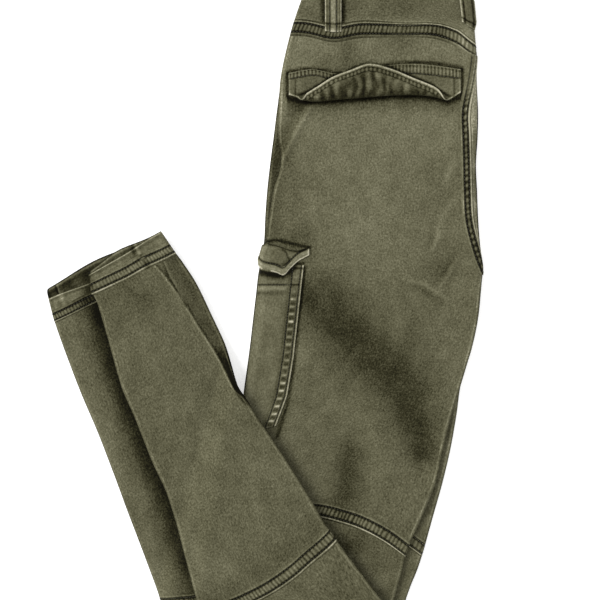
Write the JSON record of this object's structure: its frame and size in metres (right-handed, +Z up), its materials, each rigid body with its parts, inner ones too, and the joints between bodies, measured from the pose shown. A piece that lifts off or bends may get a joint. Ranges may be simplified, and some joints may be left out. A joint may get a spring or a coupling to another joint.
{
  "type": "folded cargo pants",
  "caption": "Slim olive cotton cargo trousers, folded in half lengthwise with the legs folded back at the knee, lying flat.",
  "frame": {"origin": "on the ground, at the middle of the overall box of the folded trousers", "axes": "+Z up from the ground, +Y towards the waistband, +X towards the seat"},
  "size_m": [0.4722, 0.7064, 0.0303],
  "materials": {
    "twill": "matte, garment-dyed olive twill",
    "twill_light": "matte, faded olive twill at worn trims"
  },
  "bodies": {
    "root": {"back_pocket_flap": "twill_light", "belt_loop_back": "twill_light", "belt_loop_side": "twill_light", "cargo_flap": "twill_light", "cargo_pocket": "twill_light", "hidden_fronts": "twill", "left_back": "twill", "left_hem": "twill_light", "left_knee_back": "twill", "left_shin_back": "twill", "left_shin_front": "twill", "right_back": "twill", "right_hem": "twill_light", "right_knee_back": "twill", "right_shin_back": "twill", "right_shin_front": "twill", "waistband": "twill"}
  },
  "joints": []
}
